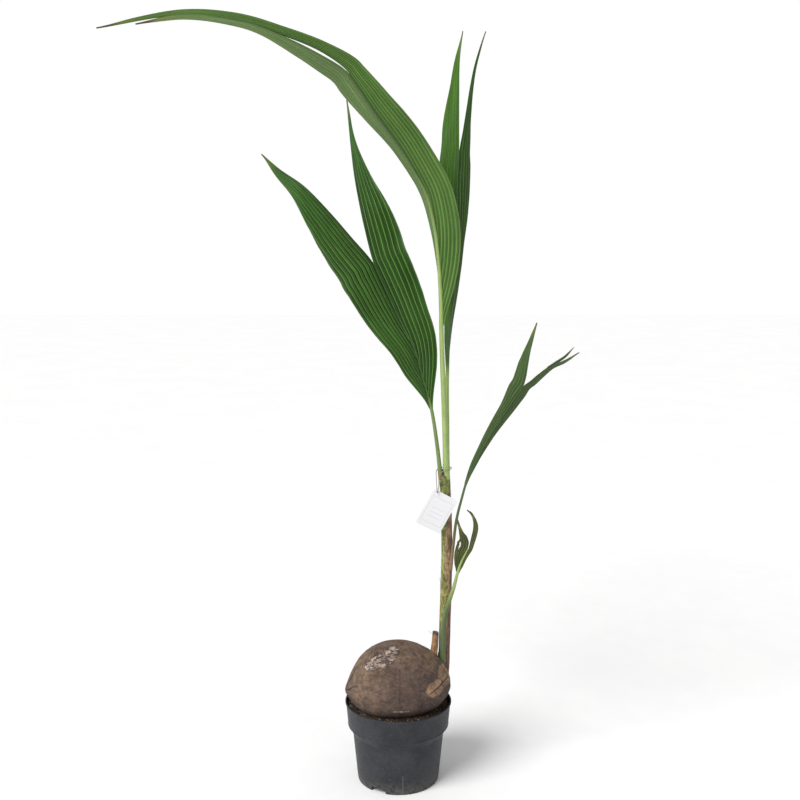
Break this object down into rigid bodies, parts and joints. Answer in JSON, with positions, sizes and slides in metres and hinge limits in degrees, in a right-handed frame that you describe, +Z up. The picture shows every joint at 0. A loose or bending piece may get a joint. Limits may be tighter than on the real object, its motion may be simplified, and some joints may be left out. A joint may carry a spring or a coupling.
{
  "type": "potted coconut palm seedling",
  "caption": "Young coconut palm in a nursery pot: sprouted husk half sunk in potting mix, upright shoot, two-lobed pleated leaves, blank card on a string.",
  "frame": {"origin": "centre of the pot's flat underside, on the surface that the pot stands on", "axes": "+Z up; +X from the husk's pointed end towards the shoot; the plant's front looks along -Y"},
  "size_m": [0.7606, 0.2802, 1.3171],
  "materials": {
    "pot": "moulded slate-grey plastic, satin",
    "potting_mix": "damp dark peat with coir fibres",
    "husk": "weathered brown-grey fibrous husk",
    "stem": "green leaf bases under tan fibrous sheath",
    "sheath": "dry tan-brown sheath, cut dark at the top",
    "leaf_rib": "smooth yellow-green stalk",
    "leaf_blade": "glossy deep green, pleated",
    "old_leaf_blade": "olive green going brown, dull",
    "card": "plain white card",
    "string": "thin grey-brown twine"
  },
  "bodies": {
    "root": {"pot": "pot", "potting_mix": "potting_mix", "husk": "husk", "stem": "stem", "sheath_stub": "sheath", "arching_leaf_rib_1": "leaf_rib", "arching_leaf_rib_2": "leaf_rib", "arching_leaf_rib_3": "leaf_rib", "arching_leaf_right_1": "leaf_blade", "arching_leaf_right_2": "leaf_blade", "arching_leaf_right_3": "leaf_blade", "arching_leaf_left_1": "leaf_blade", "arching_leaf_left_2": "leaf_blade", "arching_leaf_left_3": "leaf_blade", "left_leaf_rib_1": "leaf_rib", "left_leaf_rib_2": "leaf_rib", "left_leaf_left_1": "leaf_blade", "left_leaf_left_2": "leaf_blade", "left_leaf_left_3": "leaf_blade", "left_leaf_right_1": "leaf_blade", "left_leaf_right_2": "leaf_blade", "left_leaf_right_3": "leaf_blade", "upright_leaf_rib": "leaf_rib", "upright_leaf_left": "leaf_blade", "upright_leaf_right": "leaf_blade", "right_leaf_rib_1": "leaf_rib", "right_leaf_rib_2": "leaf_rib", "right_leaf_upper": "leaf_blade", "right_leaf_lower": "leaf_blade", "low_leaf_rib": "leaf_rib", "low_leaf_left": "old_leaf_blade", "low_leaf_right": "old_leaf_blade", "card": "card", "card_string": "string"}
  },
  "joints": []
}
